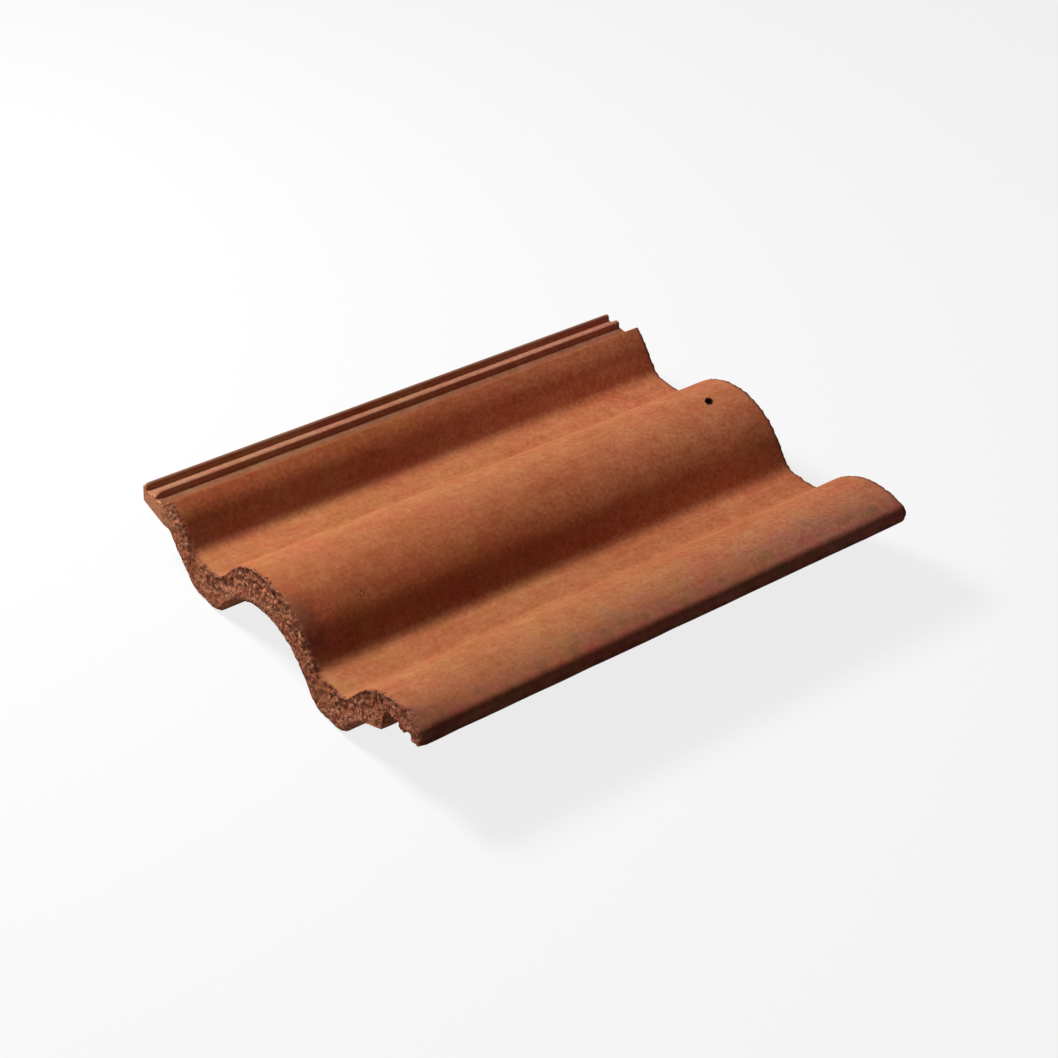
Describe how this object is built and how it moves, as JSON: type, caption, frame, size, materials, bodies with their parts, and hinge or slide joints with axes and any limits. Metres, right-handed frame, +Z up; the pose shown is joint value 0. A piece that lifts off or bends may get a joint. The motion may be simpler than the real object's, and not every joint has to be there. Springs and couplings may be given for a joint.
{
  "type": "concrete roof tile",
  "caption": "Interlocking rolled concrete roof tile with flat pans, a ribbed side lap, a thick foot, batten nibs and a nail hole.",
  "frame": {"origin": "middle of the tile's base, on the plane that the foot and the nibs rest on", "axes": "+X across the course from the underlock to the overlock, +Y up the roof from the foot to the head, +Z up out of the weather face"},
  "size_m": [0.33, 0.42, 0.07],
  "materials": {
    "concrete": "through-coloured red-brown concrete, smooth and finely mottled on top, rough and granular on the foot's cut end"
  },
  "bodies": {
    "root": {"roof_tile": "concrete"}
  },
  "joints": []
}
